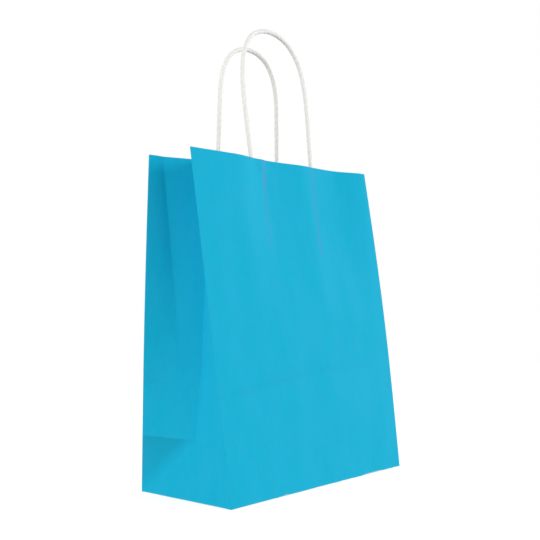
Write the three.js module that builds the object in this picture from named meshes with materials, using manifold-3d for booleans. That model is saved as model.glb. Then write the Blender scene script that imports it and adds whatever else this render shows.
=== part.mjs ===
// A paper carrier bag with two twisted paper cord handles, standing open.
//
// The bag is one sheet: a tube with a front panel, a back panel and two side gussets,
// closed at the bottom by flaps folded like an envelope. Each handle is a loop of twisted
// cord whose ends lie between a backing patch, on the panel, and a cover patch.
//
// Millimetres. +Z is up and the bag stands on z = 0, with its origin in the middle of the
// base. The front panel faces -Y, and the bag's width runs along X.
import * as THREE from "three";
import { mergeVertices } from "three/addons/utils/BufferGeometryUtils.js";
import Module from "manifold-3d";

// The flat sheet
const panelWidth = 210; // front and back panels, corner fold to corner fold
const gussetDepth = 105; // side panels, corner fold to corner fold
const panelHeight = 272; // along the paper, from the base fold to the rim
const paper = 0.2; // one ply of kraft paper
const flapLength = 70; // how far the bottom flaps reach in from the base folds
const triangleHeight = 45; // up the gussets, to the tip of the triangle folded in at the base
const seamFlap = 18; // glue flap inside the back panel, along its right corner fold
const seamSetBack = 1.5; // bare paper between the corner fold and the glue flap

// How the standing bag has settled
const frontLeanLeft = 37; // how far the rim's front left corner stands behind the base fold
const frontLeanRight = 28;
const backLean = 17;
const rimDip = 7; // how far the handle pulls the middle of the front rim inwards
const backRimDip = 3;
const dipReach = 150; // how far below the rim the dip dies out
const pullStarts = [-0.57, 0.95]; // the rim is pulled in between these shares of its half width
const pullFull = [-0.15, 0.63]; // and is pulled in furthest between these
const bulge = 0.35; // how much less it is pulled in between the legs of the handle, as a share
const bulgeCentre = 0.23; // where that is
const bulgeWidth = 0.17;
const belly = 3; // outward bow of the front panel at half height, at its right edge
const tipShare = 0.65; // how far the triangle's tip is in, as a share of gussets folded flat
const creaseShare = 0.86; // and how far the centre crease is in, further up
const creaseSettle = 70; // from the tip to where the crease is fully in
const bendStart = 0.25; // the bend across each half gusset starts here, as a share of the half
const bendEnd = 0.75; // and reaches the rim here
const bendSink = 3; // how far that bend is sunk where it is deepest
const bendDeepest = 215; // how far up the paper that is
const bendFoot = 80; // and where it starts below
const bendAtRim = 0.8; // share of the sink that is left at the rim
const bendHollow = 2.4; // how closely the paper beyond the bend curves down into it

// Handles and their patches
const cordDiameter = 4; // over the lobes
const lobeDepth = 0.1; // how far the groove between the lobes is sunk
const cordLead = 12; // length of one full twist
const legPitch = 74; // between the two legs of a handle
const handleCentre = 4; // from the middle of the panel to the middle of the handle

// side is -1 for the front panel and 1 for the back one. rise is from the rim to the top of
// the loop, tilt is the loop's lean into the bag in degrees, and spread is how much wider
// than its legs the loop is, on each side.
const handles = [
  { name: "front", side: -1, rise: 120, tilt: 4.5, spread: 3.2, dip: rimDip },
  { name: "back", side: 1, rise: 109, tilt: 2.5, spread: -0.8, dip: backRimDip },
];
const patchWidth = 100;
const patchHeight = 45;
const patchSetDown = 4; // from the rim to the top of the patches
const cordSetUp = 4; // from the bottom of the patches to the end of the cord
const gap = 0.3; // clearance between glued pieces

// Fineness of the meshes
const slopeColumns = 8; // across each stretch of a panel where its rim is pulled in
const halfGussetColumns = 6; // also the rows beside the folded triangle at the base
const bendColumn = Math.round(halfGussetColumns * bendStart);
const upperRows = 15; // from the folded triangle to the rim
const cordStep = 2; // along a cord
const cordSides = 8;
const humpSteps = 4; // across the round top of the cover patch over a leg

const halfWidth = panelWidth / 2;
const halfDepth = gussetDepth / 2;
const cordRadius = cordDiameter / 2;
const kraftBlue = new THREE.MeshStandardMaterial({ color: 0x21aed6, roughness: 0.85, metalness: 0 });
const kraftWhite = new THREE.MeshStandardMaterial({ color: 0xf1f0ea, roughness: 0.9, metalness: 0 });

const wasm = await Module();
wasm.setup();

// Small helpers

const ease = (t) => THREE.MathUtils.smoothstep(t, 0, 1);
const even = (from, to, pieces) =>
  Array.from({ length: pieces + 1 }, (_, i) => from + ((to - from) * i) / pieces);
const apart = (values) => values.filter((v, i) => i === 0 || v - values[i - 1] > 1e-3);

// A closed solid between two grids of points, near and far, of [row][column]. Columns run
// with the near side facing out to the right-hand rule, and loop says that they join up.
function solidBetween(near, far, loop, leansForward = () => true) {
  const rows = near.length;
  const columns = near[0].length;
  const points = [...near.flat(), ...far.flat()];
  const at = (layer, r, c) => layer * rows * columns + r * columns + (c % columns);
  const index = [];
  const quad = (a, b, c, d, forward = true) =>
    index.push(...(forward ? [a, b, c, a, c, d] : [a, b, d, b, c, d]));
  const spans = loop ? columns : columns - 1;
  for (let c = 0; c < spans; c++) {
    for (let r = 0; r < rows - 1; r++) {
      const forward = leansForward(c);
      quad(at(0, r, c), at(0, r, c + 1), at(0, r + 1, c + 1), at(0, r + 1, c), forward);
      quad(at(1, r, c + 1), at(1, r, c), at(1, r + 1, c), at(1, r + 1, c + 1), !forward);
    }
    quad(at(1, 0, c), at(1, 0, c + 1), at(0, 0, c + 1), at(0, 0, c));
    const top = rows - 1;
    quad(at(0, top, c), at(0, top, c + 1), at(1, top, c + 1), at(1, top, c));
  }
  if (!loop)
    for (let r = 0; r < rows - 1; r++) {
      const last = columns - 1;
      quad(at(1, r, 0), at(0, r, 0), at(0, r + 1, 0), at(1, r + 1, 0));
      quad(at(0, r, last), at(1, r, last), at(1, r + 1, last), at(0, r + 1, last));
    }
  return new THREE.BufferGeometry().setFromPoints(points).setIndex(index);
}

function toManifold(geometry) {
  const bare = geometry.clone();
  bare.deleteAttribute("normal");
  bare.deleteAttribute("uv");
  const merged = mergeVertices(bare, 1e-4);
  return new wasm.Manifold(
    new wasm.Mesh({
      numProp: 3,
      vertProperties: merged.attributes.position.array,
      triVerts: new Uint32Array(merged.index.array),
    }),
  );
}

function toGeometry(manifold) {
  const { numProp, vertProperties, triVerts, numVert } = manifold.getMesh();
  const position = new Float32Array(numVert * 3);
  for (let i = 0; i < numVert; i++)
    position.set(vertProperties.subarray(i * numProp, i * numProp + 3), i * 3);
  const geometry = new THREE.BufferGeometry()
    .setAttribute("position", new THREE.BufferAttribute(position, 3))
    .setIndex(new THREE.BufferAttribute(triVerts, 1));
  geometry.computeVertexNormals();
  return geometry;
}

// The panels. side is -1 for the front and 1 for the back, x runs across the panel and s
// up the paper from the base fold.

const handleOf = (side) => handles.find((h) => h.side === side);

function leanAt(side, x) {
  if (side > 0) return backLean;
  return THREE.MathUtils.lerp(frontLeanLeft, frontLeanRight, x / panelWidth + 0.5);
}

// How far the handle pulls the rim in, 1 where it pulls most and 0 beside it.
function pull(x) {
  const across = x / halfWidth;
  const left = ease((across - pullStarts[0]) / (pullFull[0] - pullStarts[0]));
  const right = ease((pullStarts[1] - across) / (pullStarts[1] - pullFull[1]));
  return left * right - bulge * Math.exp(-(((across - bulgeCentre) / bulgeWidth) ** 2));
}

function panelPoint(side, x, s) {
  const lean = leanAt(side, x) / panelHeight;
  const dip = handleOf(side).dip * pull(x) * ease(1 - (panelHeight - s) / dipReach);
  const share = side < 0 ? x / panelWidth + 0.5 : 0.5;
  const bow = belly * share * Math.sin((Math.PI * s) / panelHeight);
  const y = halfDepth - lean * s - dip + bow;
  return new THREE.Vector3(x, side * y, s * Math.sqrt(1 - lean * lean));
}

// The way out of the bag, square to the panel.
function panelNormal(side, x, s) {
  const step = 0.5;
  const across = panelPoint(side, x + step, s).sub(panelPoint(side, x - step, s));
  const up = panelPoint(side, x, s + step).sub(panelPoint(side, x, s - step));
  return across.cross(up).multiplyScalar(-side).normalize();
}

// A point that lies depth inside the panel's outer face.
const insidePanel = (side, x, s, depth) =>
  panelPoint(side, x, s).addScaledVector(panelNormal(side, x, s), -depth);

// The gussets. hand is -1 for the left and 1 for the right.

const cornerEdge = (hand, side, s) => panelPoint(side, hand * halfWidth, s);

// How far in the centre crease lies, and how far back, at s from the triangle's tip up.
function creasePlan(hand, s) {
  const front = cornerEdge(hand, -1, s);
  const back = cornerEdge(hand, 1, s);
  const settle = ease((s - triangleHeight) / creaseSettle);
  const share = THREE.MathUtils.lerp(tipShare, creaseShare, settle);
  const flatFold = Math.sqrt(halfDepth ** 2 - ((back.y - front.y) / 2) ** 2);
  return {
    inwards: share * flatFold,
    y: ((front.y + back.y) / 2) * settle,
  };
}

// A point of the triangle folded in at the base, which lies flat.
function trianglePoint(hand, y, s) {
  const tipIn = creasePlan(hand, triangleHeight).inwards;
  const tipUp = Math.sqrt(triangleHeight ** 2 - tipIn ** 2);
  const climb = s / triangleHeight;
  return new THREE.Vector3(hand * (halfWidth - climb * tipIn), y, climb * tipUp);
}

// The centre crease above the triangle, as heights that keep its length along the paper.
function creaseLine(hand, rows) {
  let last = creasePlan(hand, triangleHeight);
  let height = trianglePoint(hand, 0, triangleHeight).z;
  let lastS = triangleHeight;
  return rows.map((s) => {
    const plan = creasePlan(hand, s);
    const run = Math.hypot(plan.inwards - last.inwards, plan.y - last.y);
    height += Math.sqrt(Math.max(0, (s - lastS) ** 2 - run ** 2));
    last = plan;
    lastS = s;
    return new THREE.Vector3(hand * (halfWidth - plan.inwards), plan.y, height);
  });
}

// Half a gusset from its centre crease to a corner fold, as one row of points. Below the
// triangle's tip the half is creased along the triangle's slanting side.
function lowerHalf(hand, side, s) {
  return even(0, 1, halfGussetColumns).map((q) => {
    const slant = 1 - s / triangleHeight;
    if (q <= slant + 1e-6) return trianglePoint(hand, side * q * halfDepth, s);
    const corner = cornerEdge(hand, side, s);
    return trianglePoint(hand, side * slant * halfDepth, s).lerp(corner, (q - slant) / (1 - slant));
  });
}

function upperHalf(hand, side, s, crease) {
  const climb = (s - triangleHeight) / (panelHeight - triangleHeight);
  const bend = THREE.MathUtils.lerp(bendStart, bendEnd, climb);
  const shares = [
    ...even(0, bend, bendColumn).slice(0, -1),
    ...even(bend, 1, halfGussetColumns - bendColumn),
  ];
  const grown = ease((s - bendFoot) / (bendDeepest - bendFoot));
  const spent = ease((s - bendDeepest) / (panelHeight - bendDeepest));
  const depth = bendSink * grown * (1 - (1 - bendAtRim) * spent);
  const corner = cornerEdge(hand, side, s);
  const outwards = new THREE.Vector3(0, 0, hand * side)
    .cross(new THREE.Vector3().subVectors(corner, crease))
    .multiplyScalar(-1)
    .normalize();
  return shares.map((q) => {
    const sunk = q < bend ? q / bend : ((1 - q) / (1 - bend)) ** bendHollow;
    return crease.clone().lerp(corner, q).addScaledVector(outwards, -depth * sunk);
  });
}

// The bag's wall, as rows of points once round the outer face

const triangleRows = even(0, triangleHeight, halfGussetColumns);
const freeRows = even(triangleHeight, panelHeight, upperRows).slice(1);
const [pullFrom, pullTo] = pullStarts.map((share) => share * halfWidth);
const [fullFrom, fullTo] = pullFull.map((share) => share * halfWidth);
const panelColumns = [
  ...even(-halfWidth, pullFrom, 4),
  ...even(pullFrom, fullFrom, slopeColumns).slice(1),
  ...even(fullFrom, fullTo, slopeColumns).slice(1),
  ...even(fullTo, pullTo, slopeColumns).slice(1),
  halfWidth,
];

function wallRow(s, creases) {
  const half = (hand, side) =>
    creases ? upperHalf(hand, side, s, creases[hand]) : lowerHalf(hand, side, s);
  const gusset = (hand) => [...half(hand, hand * -1).reverse(), ...half(hand, hand).slice(1)];
  const panel = (side) => panelColumns.map((x) => panelPoint(side, x, s));
  const front = panel(-1).slice(1, -1);
  const back = panel(1).slice(1, -1).reverse();
  return [...front, ...gusset(1), ...back, ...gusset(-1)];
}

// The wall's inner face lies one ply inside the outer one, and is mitred at the folds.
function innerRows(outer) {
  const columns = outer[0].length;
  const faceNormal = (r, c) => {
    const a = outer[r][c];
    const b = outer[r][(c + 1) % columns];
    const d = outer[r + 1][c];
    const e = outer[r + 1][(c + 1) % columns];
    return new THREE.Vector3()
      .crossVectors(e.clone().sub(a), d.clone().sub(b))
      .normalize();
  };
  return outer.map((row, r) =>
    row.map((point, c) => {
      const faces = [];
      for (const rr of [r - 1, r])
        if (rr >= 0 && rr < outer.length - 1)
          for (const cc of [c + columns - 1, c]) faces.push(faceNormal(rr, cc % columns));
      const mean = faces.reduce((sum, n) => sum.add(n), new THREE.Vector3());
      if (r === 0) mean.setZ(0);
      mean.normalize();
      const fit = faces.reduce((sum, n) => sum + n.dot(mean), 0) / faces.length;
      return point.clone().addScaledVector(mean, -paper / fit);
    }),
  );
}

function wall() {
  const lines = { "-1": creaseLine(-1, freeRows), 1: creaseLine(1, freeRows) };
  const outer = [
    ...triangleRows.map((s) => wallRow(s)),
    ...freeRows.map((s, i) => wallRow(s, { "-1": lines[-1][i], 1: lines[1][i] })),
  ];
  const panelInside = panelColumns.length - 2;
  const gussetSpans = 2 * halfGussetColumns;
  const rightStart = panelInside;
  const leftStart = 2 * panelInside + gussetSpans + 1;
  const leansForward = (c) => {
    const start = c >= leftStart ? leftStart : rightStart;
    const within = c - start;
    return within < 0 || within >= gussetSpans || within < halfGussetColumns;
  };
  return toManifold(solidBetween(outer, innerRows(outer), true, leansForward));
}

// The glue flap of the side seam lies inside the back panel, beside its right corner fold.
function seam() {
  const from = halfWidth - seamFlap;
  const columns = apart(
    [...panelColumns, from, halfWidth - seamSetBack]
      .filter((x) => x >= from && x <= halfWidth - seamSetBack)
      .sort((a, b) => a - b),
  );
  const rows = [...triangleRows.slice(1), ...freeRows];
  const grid = (depth) => rows.map((s) => columns.map((x) => insidePanel(1, x, s, depth)));
  return toManifold(solidBetween(grid(2 * paper), grid(paper / 2), false));
}

// The bottom, as flaps that lie one ply above another. The front flap is outermost, the
// back flap lies on it, and the ends of the gussets are tucked in on top.

function flap(outline, ply) {
  const shape = new THREE.Shape(outline.map(([x, y]) => new THREE.Vector2(x, y)));
  const sunk = paper / 10; // each ply reaches a little into the next, so that they join
  const geometry = new THREE.ExtrudeGeometry(shape, { depth: paper + sunk, bevelEnabled: false });
  return toManifold(geometry.translate(0, 0, ply * paper - (ply ? sunk : 0)));
}

function bottom() {
  const x = halfWidth - paper / 2;
  const y = halfDepth - paper / 2;
  const reach = flapLength;
  const mainFlap = [
    [-x, -y],
    [x, -y],
    [x - reach, -y + reach],
    [-x + reach, -y + reach],
  ];
  const tuck = [
    [-x, -y],
    [-x + reach, -y],
    [-x + reach, y],
    [-x, y],
  ];
  const turned = (outline) => outline.map(([a, b]) => [-a, -b]);
  return [flap(mainFlap, 0), flap(turned(mainFlap), 1), flap(tuck, 2), flap(turned(tuck), 2)];
}

function bagBody() {
  const pieces = [seam(), ...bottom()];
  return toGeometry(pieces.reduce((body, piece) => body.add(piece), wall()));
}

// Handle patches

const patchTop = panelHeight - patchSetDown;
const patchRows = even(patchTop - patchHeight, patchTop, 3);
const backingDepth = paper + gap; // from the panel's outer face to each piece
const coverDepth = backingDepth + paper + gap;
const cordDepth = coverDepth + cordRadius;

// A sheet inside a panel. section gives its points as [x, depth].
function sheetInside(side, nearSection, farSection) {
  const grid = (section) =>
    patchRows.map((s) => section.map(([x, depth]) => insidePanel(side, x, s, depth)));
  return side < 0
    ? solidBetween(grid(nearSection), grid(farSection), false)
    : solidBetween(grid(farSection), grid(nearSection), false);
}

const patchFrom = handleCentre - patchWidth / 2;
const patchTo = handleCentre + patchWidth / 2;
const legs = [handleCentre - legPitch / 2, handleCentre + legPitch / 2];
const patchColumns = panelColumns.filter((x) => x > patchFrom + 1 && x < patchTo - 1);

function backingPatch({ side }) {
  const section = (depth) => [patchFrom, ...patchColumns, patchTo].map((x) => [x, depth]);
  return sheetInside(side, section(backingDepth), section(backingDepth + paper));
}

// The cover patch lies flat between the legs and humps over each of them: a round top, and
// straight flanks down to the backing patch.
const flank = THREE.MathUtils.degToRad(55);

function humpFoot(ply) {
  const round = cordRadius + gap + ply;
  const drop = cordDepth + round * Math.cos(flank) - coverDepth - ply;
  return round * Math.sin(flank) + drop / Math.tan(flank);
}

function coverSection(ply) {
  const round = cordRadius + gap + ply;
  const floor = coverDepth + ply;
  const hump = (leg) => [
    [leg - humpFoot(ply), floor],
    ...even(-flank, flank, humpSteps).map((a) => [
      leg + round * Math.sin(a),
      cordDepth + round * Math.cos(a),
    ]),
    [leg + humpFoot(ply), floor],
  ];
  const beside = (x) => legs.every((leg) => Math.abs(x - leg) > humpFoot(paper) + 1);
  const flat = [patchFrom, ...patchColumns.filter(beside), patchTo].map((x) => [x, floor]);
  return [...flat, ...legs.flatMap(hump)].sort((a, b) => a[0] - b[0]);
}

function coverPatch({ side }) {
  return sheetInside(side, coverSection(0), coverSection(paper));
}

// Handle cords. A lobed profile is extruded straight, twisted, and bent along the handle.

// Half of the loop, as shares of its greatest half width and of its rise.
const arch = [
  [1, 0.48],
  [0.975, 0.64],
  [0.895, 0.77],
  [0.76, 0.865],
  [0.56, 0.94],
  [0.29, 0.985],
];

function cordPath({ side, rise, tilt, spread }) {
  const heights = [...even(patchTop - patchHeight + cordSetUp, patchTop, 3), panelHeight];
  const leg = (hand) =>
    heights.map((s) => insidePanel(side, handleCentre + (hand * legPitch) / 2, s, cordDepth));
  const rim = insidePanel(side, handleCentre, panelHeight, cordDepth);
  const lean = THREE.MathUtils.degToRad(tilt);
  const up = new THREE.Vector3(0, -side * Math.sin(lean), Math.cos(lean));
  const shoulder = legPitch / 2 + spread;
  const halfLoop = (hand) =>
    arch.map(([out, climb]) =>
      rim
        .clone()
        .addScaledVector(up, climb * rise)
        .setX(handleCentre + hand * out * shoulder),
    );
  const top = rim.clone().addScaledVector(up, rise);
  return new THREE.CatmullRomCurve3(
    [...leg(-1), ...halfLoop(-1), top, ...halfLoop(1).reverse(), ...leg(1).reverse()],
    false,
    "centripetal",
  );
}

function lobedProfile() {
  const shape = new THREE.Shape();
  const corners = even(0, 2 * Math.PI, cordSides).slice(0, -1);
  return shape.setFromPoints(
    corners.map((a) => {
      const radius = cordRadius - lobeDepth * Math.sin(a) ** 2;
      return new THREE.Vector2(radius * Math.cos(a), radius * Math.sin(a));
    }),
  );
}

function twistedCord(handle) {
  const path = cordPath(handle);
  path.arcLengthDivisions = 2000;
  const length = path.getLength();
  const steps = Math.round(length / cordStep);
  const geometry = new THREE.ExtrudeGeometry(lobedProfile(), {
    depth: length,
    steps,
    bevelEnabled: false,
  });
  const { normals, binormals } = path.computeFrenetFrames(steps);
  const position = geometry.attributes.position;
  const point = new THREE.Vector3();
  for (let i = 0; i < position.count; i++) {
    point.fromBufferAttribute(position, i);
    const step = Math.round((point.z / length) * steps);
    point.applyAxisAngle(new THREE.Vector3(0, 0, 1), (2 * Math.PI * point.z) / cordLead);
    const { x, y } = point;
    path
      .getPointAt(step / steps, point)
      .addScaledVector(normals[step], x)
      .addScaledVector(binormals[step], y);
    position.setXYZ(i, point.x, point.y, point.z);
  }
  return toGeometry(toManifold(geometry));
}

// The assembly

const bag = new THREE.Group();
const place = (name, geometry, material) => {
  const mesh = new THREE.Mesh(geometry, material);
  mesh.name = name;
  bag.add(mesh);
};

place("bag_body", bagBody(), kraftBlue);
for (const handle of handles) {
  place(`${handle.name}_handle_cord`, twistedCord(handle), kraftWhite);
  place(`${handle.name}_backing_patch`, backingPatch(handle), kraftWhite);
  place(`${handle.name}_cover_patch`, coverPatch(handle), kraftWhite);
}

export default bag;
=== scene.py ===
# The looks of a paper carrier bag that stands open, with two twisted paper cord handles.
# The bag is one folded sheet of kraft paper, coloured outside and white inside.
# Metres. The bag stands on z = 0, its front panel faces -Y and its width runs along X.
import math

import bmesh
import bpy
import numpy as np
from bpy.props import FloatProperty, FloatVectorProperty, PointerProperty
from mathutils import Matrix, Vector


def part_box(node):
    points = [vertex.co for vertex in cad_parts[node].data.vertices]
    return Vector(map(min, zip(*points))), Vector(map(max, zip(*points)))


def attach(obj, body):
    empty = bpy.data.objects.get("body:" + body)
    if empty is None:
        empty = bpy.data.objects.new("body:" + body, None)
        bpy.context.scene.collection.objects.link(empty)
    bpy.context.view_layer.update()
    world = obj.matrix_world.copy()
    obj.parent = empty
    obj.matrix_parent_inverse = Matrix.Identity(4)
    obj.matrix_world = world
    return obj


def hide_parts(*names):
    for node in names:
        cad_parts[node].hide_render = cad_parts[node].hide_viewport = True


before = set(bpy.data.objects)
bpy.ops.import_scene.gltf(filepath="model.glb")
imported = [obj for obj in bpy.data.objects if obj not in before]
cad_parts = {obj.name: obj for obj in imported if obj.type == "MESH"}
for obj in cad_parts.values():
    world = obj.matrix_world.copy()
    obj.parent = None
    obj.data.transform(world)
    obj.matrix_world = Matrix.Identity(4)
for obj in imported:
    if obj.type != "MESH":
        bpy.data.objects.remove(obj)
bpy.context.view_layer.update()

bl_info = {
    "name": "Paper carrier bag",
    "version": (1, 0, 0),
    "blender": (4, 5, 0),
    "location": "3D View > Sidebar > Carrier bag",
    "description": "Makes a standing kraft paper bag with twisted paper cord handles",
    "category": "Object",
}

body_low, body_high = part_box("bag_body")


# Properties

def length(name, description, default):
    return FloatProperty(name=name, description=description, default=default, unit="LENGTH", precision=5)


def angle(name, description, degrees):
    return FloatProperty(
        name=name, description=description, default=math.radians(degrees), subtype="ANGLE", precision=3
    )


def share(name, description, default):
    return FloatProperty(name=name, description=description, default=default, min=0, max=1, subtype="FACTOR")


def colour(name, description, default):
    return FloatVectorProperty(
        name=name, description=description, default=default, size=3, min=0, max=1, subtype="COLOR"
    )


class BagSettings(bpy.types.PropertyGroup):
    width: length("Width", "Front and back panels, corner fold to corner fold", body_high.x - body_low.x)
    depth: length("Depth", "Side gussets, corner fold to corner fold", body_high.y - body_low.y)
    height: length("Height", "Along the paper, from the base fold to the rim", 0.272)
    paper: length("Paper", "Thickness of one ply", 0.0002)
    flap: length("Bottom flap", "How far the bottom flaps reach in", 0.07)
    triangle: length("Base triangle", "Height of the triangle folded into each gusset", 0.045)
    seam_flap: length("Glue flap", "Width of the flap glued inside the back panel", 0.018)
    seam_set_back: length("Glue flap set back", "Bare paper between fold and flap", 0.0015)
    lean_left: length("Front lean, left", "How far the rim's left corner stands back", 0.037)
    lean_right: length("Front lean, right", "How far the rim's right corner stands back", 0.028)
    lean_back: length("Back lean", "How far the back rim stands in", 0.017)
    rim_dip: length("Front rim dip", "How far the handle pulls the front rim in", 0.007)
    rim_dip_back: length("Back rim dip", "How far the handle pulls the back rim in", 0.003)
    belly: length("Belly", "Outward bow of the front panel at its right edge", 0.003)
    tip_share: share("Triangle tip", "How far the tip is folded in, of a flat fold", 0.65)
    crease_share: share("Centre crease", "How far the gusset crease is folded in", 0.86)
    bend: length("Gusset bend", "How far the bend across each half gusset is sunk", 0.003)
    bend_deepest: length("Deepest bend", "How far up the paper the bend is deepest", 0.215)
    bend_fades: length("Bend foot", "How far up the paper the bend starts", 0.080)
    bend_at_rim: share("Bend at the rim", "Share of the sink that is left at the rim", 0.8)
    fold_radius: length("Fold radius", "How softly the paper bends at its folds", 0.0006)
    blue: colour("Outside", "Dyed outer face of the kraft paper", (0.002, 0.438, 0.650))
    thick_dye: colour("Thick dye", "Outer face where the dye lies thicker", (0.015, 0.442, 0.71))
    worn: colour("Worn folds", "Outer face where a fold or an edge is worn", (0.25, 0.58, 0.75))
    # Partly a rubbed tint and partly painted shade, beside the cords' marks
    rub_and_painted_shade: colour("Rubbed strokes", "Outer face where the cords have rubbed it", (0.11, 0.25, 0.58))
    white: colour("Inside", "Bleached inner face and cut edges", (0.80, 0.79, 0.75))


class HandleSettings(bpy.types.PropertyGroup):
    diameter: length("Cord diameter", "Over the lobes of the twist", 0.004)
    lobe: length("Lobe depth", "How far the groove between the lobes is sunk", 0.0001)
    lead: length("Twist lead", "Length of one full twist", 0.012)
    pitch: length("Leg pitch", "Between the two legs of a handle", 0.074)
    centre: length("Handle centre", "From the middle of the panel", 0.004)
    rise_front: length("Front rise", "From the rim to the top of the front loop", 0.120)
    rise_back: length("Back rise", "From the rim to the top of the back loop", 0.109)
    tilt_front: angle("Front tilt", "Lean of the front loop into the bag", 4.5)
    tilt_back: angle("Back tilt", "Lean of the back loop into the bag", 2.5)
    spread_front: length("Front spread", "How much wider the loop is than its legs", 0.0032)
    spread_back: length("Back spread", "How much wider the loop is than its legs", -0.0008)
    patch_width: length("Patch width", "Of the patches that hold the cord", 0.1)
    patch_height: length("Patch height", "Of the patches that hold the cord", 0.045)
    patch_drop: length("Patch drop", "From the rim to the top of the patches", 0.004)
    cord_set_up: length("Cord set up", "From the bottom of the patches to the cord's end", 0.004)
    gap: length("Glue gap", "Between glued pieces", 0.0003)
    cord_colour: colour("Cord", "Bleached paper of the cords", (0.90, 0.90, 0.87))
    patch_colour: colour("Patches", "Bleached paper of the patches", (0.82, 0.81, 0.77))


class StageSettings(bpy.types.PropertyGroup):
    floor_radius: length("Floor radius", "Radius of the round floor", 1.6)
    floor_colour: colour("Floor", "Pale plain floor", (0.5, 0.5, 0.5))
    floor_glow: share("Floor glow", "White that the floor shows to the camera on its own", 0.75)
    ambient: share("Ambient", "Level of the even light from all round", 0.5)
    lamp_distance: length("Lamp distance", "From the bag to each lamp", 3.5)
    lamp_size: length("Lamp size", "Side of each square lamp", 1.4)
    front_level: share("Front lamp", "Level of the light in front of the front panel", 0.44)
    right_level: share("Right lamp", "Level of the light at the right", 0.3)
    left_level: share("Left lamp", "Level of the light at the left", 0.36)
    back_level: share("Back lamp", "Level of the light behind the left gusset", 0.15)
    lens: FloatProperty(name="Lens", description="Focal length on a 36 mm sensor", default=52.99)
    camera_turn: angle("Camera turn", "Azimuth of the view, from the front", -46.4189)
    camera_climb: angle("Camera climb", "Elevation of the view", -3.6430)
    camera_roll: angle("Camera roll", "Roll of the view", -1.5738)
    camera_place: FloatVectorProperty(
        name="Camera place", description="Where the camera stands", default=(-0.5009, -0.4737, 0.1342),
        size=3, subtype="TRANSLATION", unit="LENGTH",
    )


# How the standing bag has settled, shared by all its panels
DIP_REACH = 0.150  # how far below the rim the dip dies out
PULL_STARTS = (-0.060, 0.100)  # the rim runs straight outside these places
PULL_FULL = (-0.016, 0.066)  # and is pulled in furthest between these
BULGE = 0.35  # how much less it is pulled in between the legs of the handle
BULGE_CENTRE = 0.024
BULGE_WIDTH = 0.018
BACK_BOW = 0.5  # how much the back panel bows, as a share of the belly
CREASE_SETTLE = 0.070  # above the triangle's tip, until the crease is fully in
RIDGE_START = 0.25  # where the bend across a half gusset starts, as a share of the half
RIDGE_END = 0.75  # and where it reaches the rim
BEND_HOLLOW = 2.4  # how hollow the paper runs from the bend to the corner fold
FLAP_BEND = 0.0016  # over which a bottom flap turns in from its base fold
PLY_PITCH = 1.2  # from ply to ply where they lie on each other, in thicknesses of the paper
CUT_EDGE = 0.0005  # how near to a cut edge the slope of the wall is taken

# How the paper swells, and what is pressed into it
SWELL_FADE = 0.020  # over which swells die out towards folds, patches and the rim
PATCH_SIDE = 0.004  # flat paper beside a patch
PATCH_FOOT = 0.006  # flat paper below a patch
KINK_PLACE = 0.081  # where the front rim is kinked outwards, from its left corner
KINK_HEIGHT = 0.0011
KINK_WIDTH = 0.0045
CREASE_DEPTH = 0.0003
CREASE_FADE = 0.012  # beside a fold, over which a crease dies out
RUB_DEPTH = 0.00018
STROKE_FADE = 0.14  # share of its length over which a stroke dies out at each end

# Strokes on the flat paper, as start and end in u and s, half width and strength
# Rubs where the cords pressed the front panel; their colour is partly a rubbed tint and partly painted
# shade, most of all in the wide faint ones
RUBS = (
    ((0.0838, 0.2760), (0.0816, 0.2450), 0.0028, 0.90),
    ((0.0824, 0.2580), (0.0786, 0.2200), 0.0050, 0.28),
    ((0.0802, 0.2400), (0.0752, 0.1930), 0.0075, 0.14),
    ((0.1436, 0.2740), (0.1405, 0.2440), 0.0040, 0.30),
    ((0.1408, 0.2520), (0.1388, 0.2250), 0.0024, 0.62),
    ((0.1393, 0.2350), (0.1356, 0.1880), 0.0024, 0.48),
)
# Creases pressed into the paper; the material also darkens the face along them as painted shade
CREASES = (
    ((-0.0060, 0.0785), (0.0420, 0.0845), 0.0050, 0.80),
    ((0.0220, 0.0820), (0.0980, 0.0918), 0.0060, 1.00),
    ((0.0700, 0.0895), (0.1750, 0.0950), 0.0060, 0.75),
    ((0.5280, 0.0900), (0.5560, 0.0860), 0.0035, 1.00),
)

# How far the marks of wear and shade reach
CORNER_WEAR = 0.0007  # to each side of a corner fold
BASE_WEAR = 0.0009  # from a base fold
RIM_WEAR = 0.0006  # from the rim
HOLLOW_START = 0.04  # behind the triangle's slanted fold, as a share of half the gusset
HOLLOW_FADE = 0.25  # over which the hollow reaches its full shade, as such a share too
HOLLOW_EDGE = 0.0012  # over which the shade ends at the triangle's level fold
HOLLOW_FOOT = 0.4  # share of the shade that is left at the base

# Widest spacing of the wall's mesh
PANEL_SPACING = 0.0018  # across a panel
CREASE_SPACING = 0.0016  # across a gusset, from the centre crease to the bend
GUSSET_SPACING = 0.0022  # and from the bend to the corner fold
ROW_SPACING = 0.003  # up the paper


# Numbers and points

def ease(t):
    t = np.clip(t, 0, 1)
    return t * t * (3 - 2 * t)


def point(x, y, z):
    return np.stack(np.broadcast_arrays(x, y, z), -1).astype(float)


def unit(vectors):
    return vectors / np.linalg.norm(vectors, axis=-1, keepdims=True)


def blend(a, b, t):
    """From a to b as t goes from 0 to 1, for points."""
    t = np.asarray(t)[..., None]
    return a * (1 - t) + b * t


def hill(distance, width):
    return np.exp(-((distance / width) ** 2))


def graded(start, stop, widest, finest=0.0003, growth=0.35):
    """Places from start to stop, finest apart at both ends and growing apart to widest between them."""
    line = np.linspace(0, 1, 4001)
    from_end = np.minimum(line, 1 - line) * (stop - start)
    density = 1 / np.minimum(widest, finest + growth * from_end)
    total = np.concatenate([[0], np.cumsum((density[1:] + density[:-1]) / 2)]) * line[1]
    count = math.ceil(total[-1] * (stop - start))
    return start + (stop - start) * np.interp(np.linspace(0, total[-1], count + 1), total, line)


# The panels. side is -1 for the front and 1 for the back, x runs across and s up the paper.

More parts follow.
